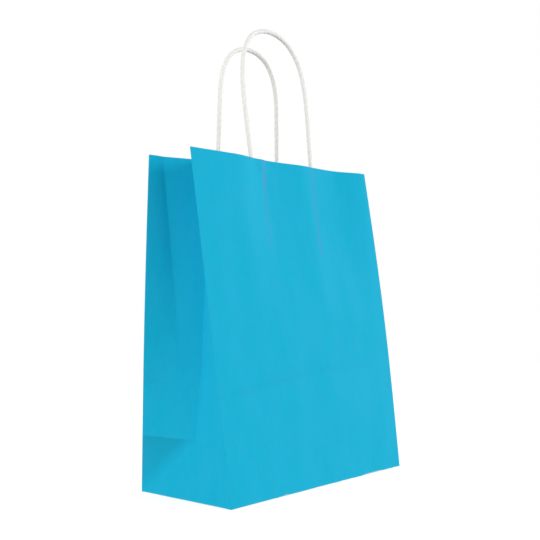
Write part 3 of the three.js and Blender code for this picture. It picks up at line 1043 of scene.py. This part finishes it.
def seen_directly(tree):
    """1 for what the camera sees, also in gloss and through glass."""
    path = add(tree, "ShaderNodeLightPath")
    seen = path.outputs["Is Camera Ray"]
    for key in ("Is Glossy Ray", "Is Transmission Ray"):
        seen = maths(tree, "MAXIMUM", seen, path.outputs[key])
    return seen


def floor_paint(stage):
    """Pale floor that shows the bag's shadow, and nothing from below."""
    material, tree = new_material("floor_paint")
    matt = add(tree, "ShaderNodeBsdfDiffuse", {"Color": rgba(stage.floor_colour)})
    glow = add(tree, "ShaderNodeEmission", {"Strength": stage.floor_glow})
    pale = add(tree, "ShaderNodeAddShader", {0: matt.outputs[0], 1: glow.outputs[0]})
    behind = add(tree, "ShaderNodeNewGeometry").outputs["Backfacing"]
    inputs = {0: seen_directly(tree), 1: behind}
    above = add(tree, "ShaderNodeMath", inputs, operation="SUBTRACT", use_clamp=True)
    clear = add(tree, "ShaderNodeBsdfTransparent")
    inputs = {0: above.outputs[0], 1: clear.outputs[0], 2: pale.outputs[0]}
    surface = add(tree, "ShaderNodeMixShader", inputs)
    add(tree, "ShaderNodeOutputMaterial", {0: surface.outputs[0]})
    return material


def even_light(stage):
    """The same light from all round, and white where the camera sees past the floor."""
    world = bpy.data.worlds.new("even_light")
    bpy.context.scene.world = world
    world.use_nodes = True
    tree = world.node_tree
    tree.nodes.clear()
    level = span(tree, seen_directly(tree), stage.ambient, 1.0, (0.0, 1.0))
    sky = add(tree, "ShaderNodeBackground", {"Color": (1, 1, 1, 1), "Strength": level})
    add(tree, "ShaderNodeOutputWorld", {0: sky.outputs[0]})


def soft_lamp(name, stage, level, way):
    """A square lamp out along the way, which lights a white face turned to it to the level."""
    place = Vector(way).normalized() * stage.lamp_distance
    bpy.ops.object.light_add(type="AREA", location=place)
    lamp = bpy.context.object
    lamp.name = name
    lamp.data.energy = level * (math.pi * stage.lamp_distance) ** 2
    lamp.data.size = stage.lamp_size
    lamp.rotation_mode = "QUATERNION"
    lamp.rotation_quaternion = (Vector((0, 0, AIM_HEIGHT)) - place).to_track_quat("-Z", "Y")


def photo_camera(stage):
    """The camera where the photograph was taken from."""
    turn, climb, roll = stage.camera_turn, stage.camera_climb, stage.camera_roll
    right = Vector((math.cos(turn), math.sin(turn), 0))
    back = Vector((math.sin(turn) * math.cos(climb), -math.cos(turn) * math.cos(climb), math.sin(climb)))
    up = back.cross(right)
    across = right * math.cos(roll) + up * math.sin(roll)
    upwards = up * math.cos(roll) - right * math.sin(roll)
    data = bpy.data.cameras.new("photo_camera")
    data.sensor_width = 36
    data.lens = stage.lens
    camera = bpy.data.objects.new("photo_camera", data)
    bpy.context.scene.collection.objects.link(camera)
    facing = Matrix((across, upwards, back)).transposed().to_4x4()
    camera.matrix_world = Matrix.Translation(stage.camera_place) @ facing
    bpy.context.scene.camera = camera


class SetStage(bpy.types.Operator):
    """Adds the floor, the lamps and the camera"""

    bl_idname = "carrier_bag.set_stage"
    bl_label = "Stage"

    def execute(self, context):
        stage = context.scene.bag_stage
        bpy.ops.object.select_all(action="DESELECT")
        bpy.ops.mesh.primitive_circle_add(vertices=96, radius=stage.floor_radius, fill_type="NGON")
        floor = context.object
        floor.name = "floor"
        floor.data.transform(Matrix.Translation((0, 0, -FLOOR_DROP)))
        floor.data.materials.append(floor_paint(stage))
        even_light(stage)
        for name, way in LAMP_WAYS.items():
            soft_lamp(f"{name}_lamp", stage, getattr(stage, f"{name}_level"), way)
        photo_camera(stage)
        context.scene.view_settings.view_transform = "Standard"
        return {"FINISHED"}


# The add-on

class BagPanel(bpy.types.Panel):
    """Lists the pieces of the bag and their sizes"""

    bl_idname = "VIEW3D_PT_carrier_bag"
    bl_label = "Carrier bag"
    bl_space_type = "VIEW_3D"
    bl_region_type = "UI"
    bl_category = "Carrier bag"

    def draw(self, context):
        for made in PIECES:
            self.layout.operator(made.bl_idname)
        for group in (context.scene.bag_body, context.scene.bag_handles, context.scene.bag_stage):
            box = self.layout.box()
            for key in group.bl_rna.properties.keys():
                if key not in ("rna_type", "name"):
                    box.prop(group, key)


PIECES = (AddBagBody, AddHandleCords, AddPatches, SetStage)
CLASSES = (BagSettings, HandleSettings, StageSettings, *PIECES, BagPanel)


def register():
    for made in CLASSES:
        bpy.utils.register_class(made)
    bpy.types.Scene.bag_body = PointerProperty(type=BagSettings)
    bpy.types.Scene.bag_handles = PointerProperty(type=HandleSettings)
    bpy.types.Scene.bag_stage = PointerProperty(type=StageSettings)


def unregister():
    del bpy.types.Scene.bag_stage
    del bpy.types.Scene.bag_handles
    del bpy.types.Scene.bag_body
    for made in reversed(CLASSES):
        bpy.utils.unregister_class(made)


def main():
    register()
    bpy.ops.carrier_bag.add_body()
    bpy.ops.carrier_bag.add_cords()
    bpy.ops.carrier_bag.add_patches()
    bpy.ops.carrier_bag.set_stage()


if __name__ == "__main__":
    main()
